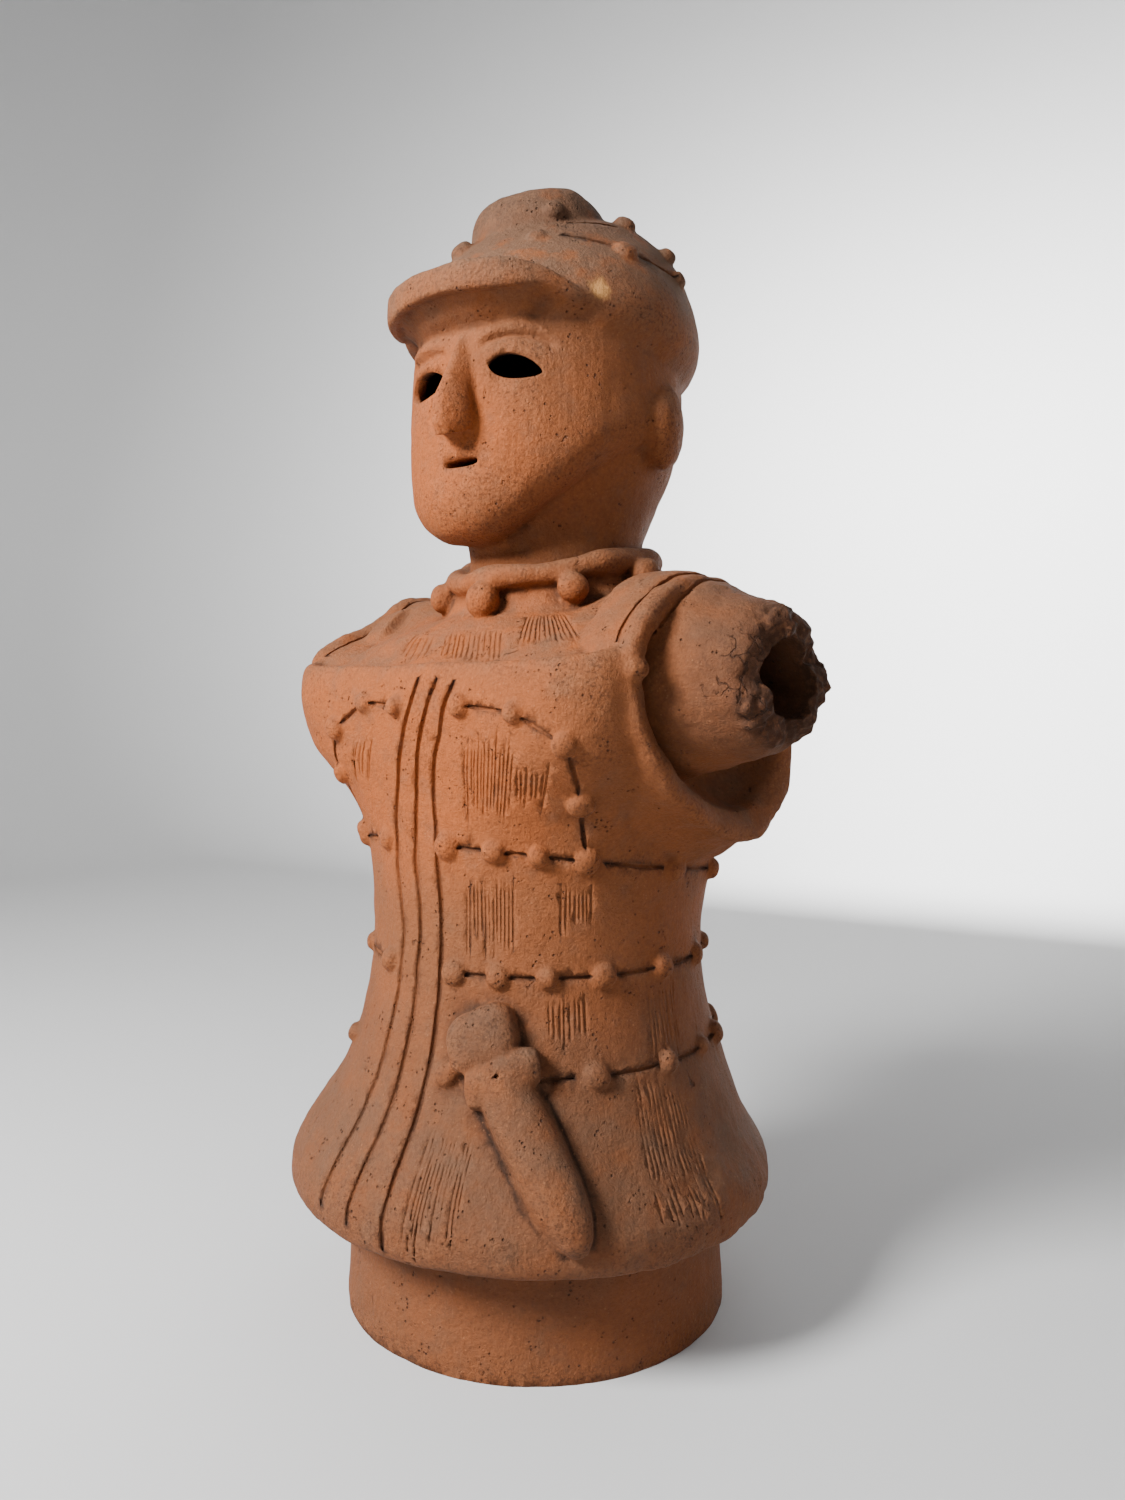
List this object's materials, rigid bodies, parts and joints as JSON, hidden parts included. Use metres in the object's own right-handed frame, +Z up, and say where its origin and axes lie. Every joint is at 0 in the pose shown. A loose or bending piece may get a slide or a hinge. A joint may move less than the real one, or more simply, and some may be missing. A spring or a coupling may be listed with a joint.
{
  "type": "haniwa figure",
  "caption": "Hollow fired-clay bust of a guard in riveted armour, with a visored helmet, a dagger on the flared skirt and broken-off arms, standing on a round open foot.",
  "frame": {"origin": "centre of the bounding box at the underside of the foot, on the floor", "axes": "+Z up; the figure faces -Y; its own left arm points along +X"},
  "size_m": [0.3253, 0.2568, 0.5999],
  "materials": {
    "terracotta": "unglazed, matt, hand-smoothed and combed"
  },
  "bodies": {
    "root": {"haniwa_figure": "terracotta"}
  },
  "joints": []
}
